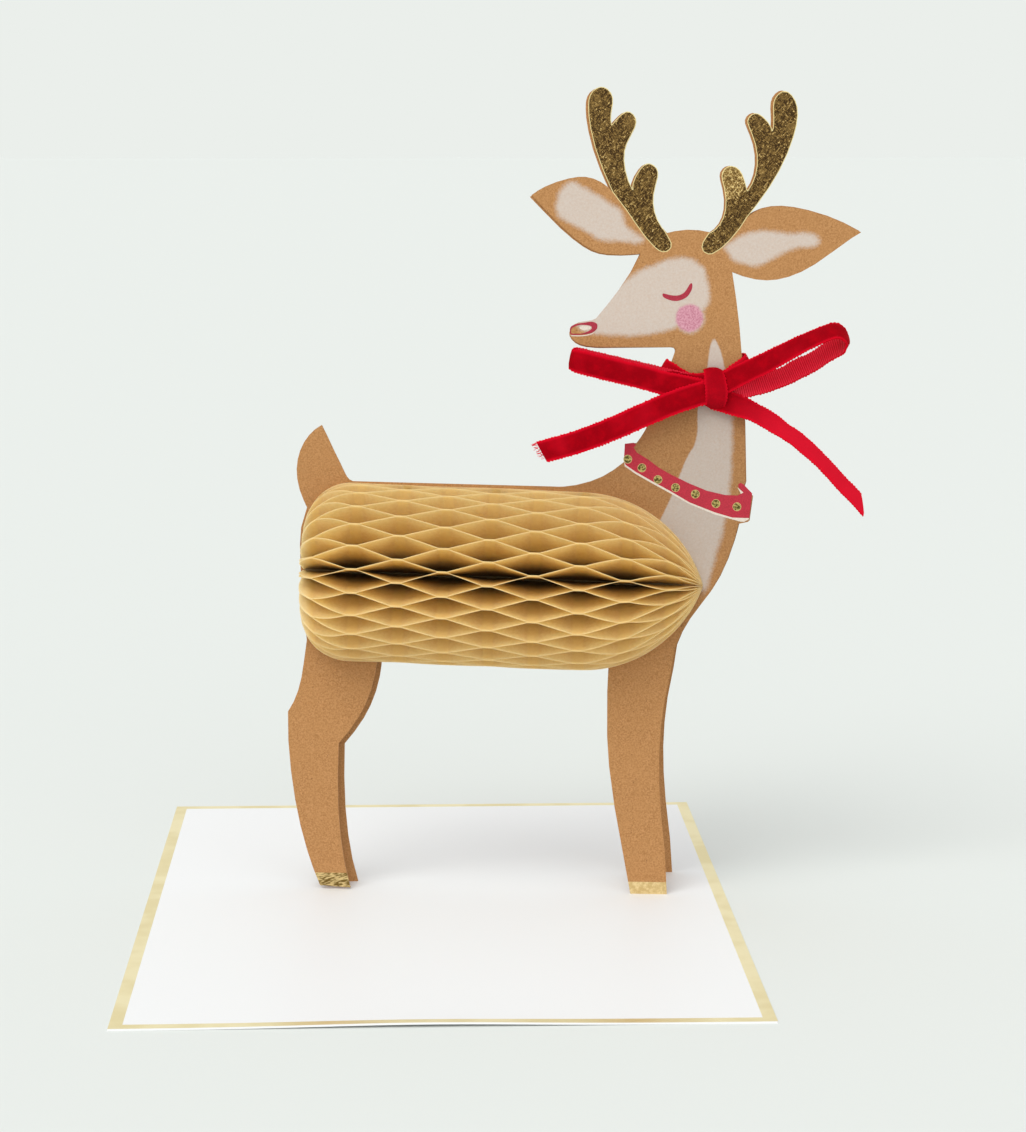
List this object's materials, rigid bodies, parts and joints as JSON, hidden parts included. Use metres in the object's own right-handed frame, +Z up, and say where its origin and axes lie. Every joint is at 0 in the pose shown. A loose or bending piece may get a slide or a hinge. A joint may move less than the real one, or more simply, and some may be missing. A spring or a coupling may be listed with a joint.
{
  "type": "greeting card",
  "caption": "Stand-up greeting card: a die-cut kraft reindeer with a tissue honeycomb body and a ribbon bow, standing on a flat message card.",
  "frame": {"origin": "centre of the message card's underside", "axes": "+Z up, +Y towards the back of the figure, +X towards the reindeer's head"},
  "size_m": [0.1925, 0.223, 0.2162],
  "materials": {
    "card_stock": "smooth white card with a printed gold border",
    "kraft_board": "uncoated kraft board, printed and foiled",
    "tissue": "thin matt tissue paper",
    "velvet": "velvet pile with a satin back"
  },
  "bodies": {
    "root": {"message_card": "card_stock", "front_panel": "kraft_board", "rear_panel": "kraft_board", "honeycomb_body": "tissue", "ribbon_bow": "velvet"}
  },
  "joints": []
}
